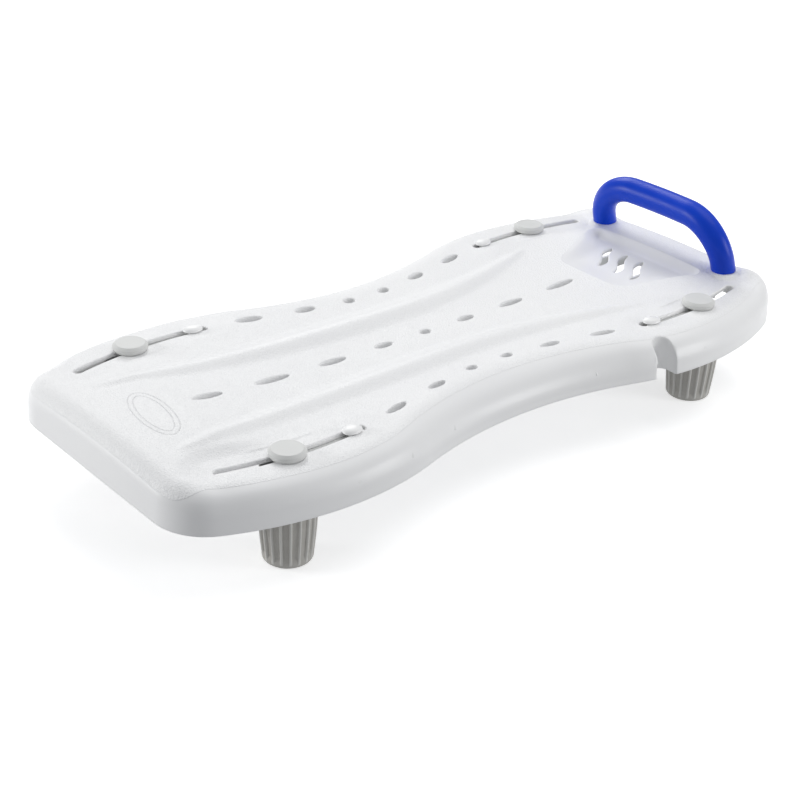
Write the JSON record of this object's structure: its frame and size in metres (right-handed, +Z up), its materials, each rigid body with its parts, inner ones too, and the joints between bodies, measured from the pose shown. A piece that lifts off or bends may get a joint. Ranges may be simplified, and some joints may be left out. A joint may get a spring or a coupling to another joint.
{
  "type": "bath transfer board",
  "caption": "Moulded bath board with a bow handle, soap dish, hose notch and ribbed clamp feet that slide in curved slots.",
  "frame": {"origin": "on the plane that the four feet stand on, under the middle of the board", "axes": "+X along the board towards the handle end, +Z up out of the seat, so +Y is away from the side that has the hose notch"},
  "size_m": [0.74, 0.347, 0.1694],
  "materials": {
    "shell_plastic": "stippled leather grain on the seat, satin skirt",
    "handle_plastic": "satin moulded ultramarine",
    "disc_plastic": "satin",
    "button_plastic": "smooth",
    "plated_steel": "zinc plated",
    "brass_nut": "machined",
    "hub_plastic": "moulded",
    "foot_rubber": "soft warm grey elastomer, upright ribs"
  },
  "bodies": {
    "board": {"board_shell": "shell_plastic", "handle": "handle_plastic", "handle_bolts": "plated_steel", "handle_washers": "plated_steel", "handle_inserts": "brass_nut"},
    "carriage_front_left": {"clamp_disc_front_left": "disc_plastic", "clamp_stud_front_left": "plated_steel", "guide_plate_front_left": "disc_plastic", "guide_button_front_left": "button_plastic", "guide_screw_front_left": "plated_steel"},
    "washer_front_left": {"clamp_washer_front_left": "plated_steel"},
    "foot_front_left": {"foot_hub_front_left": "hub_plastic", "foot_nut_front_left": "brass_nut", "foot_sleeve_front_left": "foot_rubber", "foot_plug_front_left": "hub_plastic"},
    "carriage_front_right": {"clamp_disc_front_right": "disc_plastic", "clamp_stud_front_right": "plated_steel", "guide_plate_front_right": "disc_plastic", "guide_button_front_right": "button_plastic", "guide_screw_front_right": "plated_steel"},
    "washer_front_right": {"clamp_washer_front_right": "plated_steel"},
    "foot_front_right": {"foot_hub_front_right": "hub_plastic", "foot_nut_front_right": "brass_nut", "foot_sleeve_front_right": "foot_rubber", "foot_plug_front_right": "hub_plastic"},
    "carriage_back_left": {"clamp_disc_back_left": "disc_plastic", "clamp_stud_back_left": "plated_steel", "guide_plate_back_left": "disc_plastic", "guide_button_back_left": "button_plastic", "guide_screw_back_left": "plated_steel"},
    "washer_back_left": {"clamp_washer_back_left": "plated_steel"},
    "foot_back_left": {"foot_hub_back_left": "hub_plastic", "foot_nut_back_left": "brass_nut", "foot_sleeve_back_left": "foot_rubber", "foot_plug_back_left": "hub_plastic"},
    "carriage_back_right": {"clamp_disc_back_right": "disc_plastic", "clamp_stud_back_right": "plated_steel", "guide_plate_back_right": "disc_plastic", "guide_button_back_right": "button_plastic", "guide_screw_back_right": "plated_steel"},
    "washer_back_right": {"clamp_washer_back_right": "plated_steel"},
    "foot_back_right": {"foot_hub_back_right": "hub_plastic", "foot_nut_back_right": "brass_nut", "foot_sleeve_back_right": "foot_rubber", "foot_plug_back_right": "hub_plastic"}
  },
  "joints": [
    {"name": "foot_travel_front_left", "type": "hinge", "parent": "board", "child": "carriage_front_left", "pos_m": [-0.222, 0.239, 0.0995], "axis": [0, 0, -1], "range_deg": [-1.5, 9.5]},
    {"name": "foot_drop_front_left", "type": "slide", "parent": "carriage_front_left", "child": "washer_front_left", "axis": [0, 0, 1], "range_m": [-0.0019, 0]},
    {"name": "foot_turn_front_left", "type": "hinge", "parent": "washer_front_left", "child": "foot_front_left", "pos_m": [-0.25499, -0.1235, 0.0897], "axis": [0, 0, 1], "range_deg": [-540, 0]},
    {"name": "foot_travel_front_right", "type": "hinge", "parent": "board", "child": "carriage_front_right", "pos_m": [0.222, 0.239, 0.0995], "axis": [0, 0, 1], "range_deg": [-1.5, 9.5]},
    {"name": "foot_drop_front_right", "type": "slide", "parent": "carriage_front_right", "child": "washer_front_right", "axis": [0, 0, 1], "range_m": [-0.0019, 0]},
    {"name": "foot_turn_front_right", "type": "hinge", "parent": "washer_front_right", "child": "foot_front_right", "pos_m": [0.25499, -0.1235, 0.0897], "axis": [0, 0, 1], "range_deg": [-540, 0]},
    {"name": "foot_travel_back_left", "type": "hinge", "parent": "board", "child": "carriage_back_left", "pos_m": [-0.222, -0.239, 0.0995], "axis": [0, 0, 1], "range_deg": [-1.5, 9.5]},
    {"name": "foot_drop_back_left", "type": "slide", "parent": "carriage_back_left", "child": "washer_back_left", "axis": [0, 0, 1], "range_m": [-0.0019, 0]},
    {"name": "foot_turn_back_left", "type": "hinge", "parent": "washer_back_left", "child": "foot_back_left", "pos_m": [-0.25499, 0.1235, 0.0897], "axis": [0, 0, 1], "range_deg": [-540, 0]},
    {"name": "foot_travel_back_right", "type": "hinge", "parent": "board", "child": "carriage_back_right", "pos_m": [0.222, -0.239, 0.0995], "axis": [0, 0, -1], "range_deg": [-1.5, 9.5]},
    {"name": "foot_drop_back_right", "type": "slide", "parent": "carriage_back_right", "child": "washer_back_right", "axis": [0, 0, 1], "range_m": [-0.0019, 0]},
    {"name": "foot_turn_back_right", "type": "hinge", "parent": "washer_back_right", "child": "foot_back_right", "pos_m": [0.25499, 0.1235, 0.0897], "axis": [0, 0, 1], "range_deg": [-540, 0]}
  ],
  "couplings": [
    {"joint": "foot_drop_front_left", "follows": "foot_turn_front_left", "m_per_rad": 0.00019894},
    {"joint": "foot_drop_front_right", "follows": "foot_turn_front_right", "m_per_rad": 0.00019894},
    {"joint": "foot_drop_back_left", "follows": "foot_turn_back_left", "m_per_rad": 0.00019894},
    {"joint": "foot_drop_back_right", "follows": "foot_turn_back_right", "m_per_rad": 0.00019894}
  ]
}
